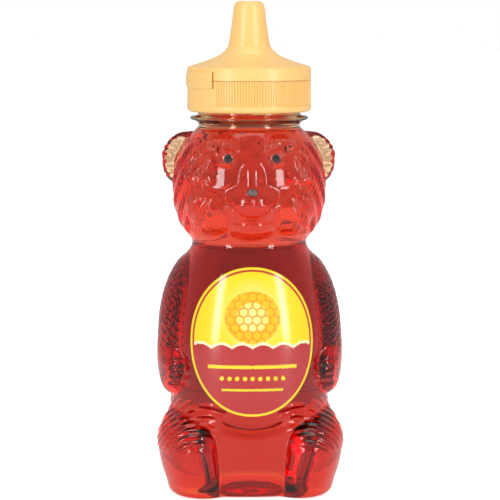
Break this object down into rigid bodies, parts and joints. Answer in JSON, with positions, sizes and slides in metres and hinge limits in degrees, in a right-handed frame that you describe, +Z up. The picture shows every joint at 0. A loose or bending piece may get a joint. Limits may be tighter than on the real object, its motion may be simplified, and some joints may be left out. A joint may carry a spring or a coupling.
{
  "type": "honey bear bottle",
  "caption": "Clear squeeze bottle blown as a sitting bear, filled with honey, with a ribbed screw cap whose cone-shaped lid hinges open over a spout.",
  "frame": {"origin": "centre of the plane the bottle stands on, under the middle of its bounding box and of its neck", "axes": "+Z up the bottle's axis, the bear's face looks along -Y, and the lid's hinge is on the -X side"},
  "size_m": [0.0632, 0.0565, 0.1668],
  "materials": {
    "clear_shell": "clear glossy blown polyester",
    "honey": "clear amber honey",
    "front_film": "glossy printed film, yellow over red",
    "back_film": "plain glossy film",
    "dark_ink": "glossy black-brown pad-printed ink",
    "brown_ink": "glossy brown pad-printed ink",
    "foil": "satin foil",
    "foam": "fine closed-cell foam",
    "cap_plastic": "satin moulded polypropylene",
    "lid_plastic": "satin moulded polypropylene",
    "hinge_plastic": "satin moulded polypropylene, thin and flexible"
  },
  "bodies": {
    "bottle": {"bottle": "clear_shell", "bottle_neck": "clear_shell", "honey": "honey", "front_label": "front_film", "back_label": "back_film", "eye_paint": "dark_ink", "nose_paint": "brown_ink", "inner_seal": "foil"},
    "gasket": {"cap_gasket": "foam"},
    "cap": {"cap_base": "cap_plastic", "cap_hinge": "hinge_plastic"},
    "lid": {"cap_lid": "lid_plastic"}
  },
  "joints": [
    {"name": "cap_rise", "type": "slide", "parent": "bottle", "child": "gasket", "axis": [0, 0, 1], "range_m": [0, 0.00635]},
    {"name": "cap_turn", "type": "hinge", "parent": "gasket", "child": "cap", "pos_m": [0, 0, 0.139], "axis": [0, 0, 1], "range_deg": [0, 540]},
    {"name": "lid_open", "type": "hinge", "parent": "cap", "child": "lid", "pos_m": [-0.0215, 0, 0.14025], "axis": [0, -1, 0], "range_deg": [0, 175], "deforming": ["cap_hinge"]}
  ],
  "couplings": [
    {"joint": "cap_rise", "follows": "cap_turn", "m_per_rad": 0.00067373}
  ]
}
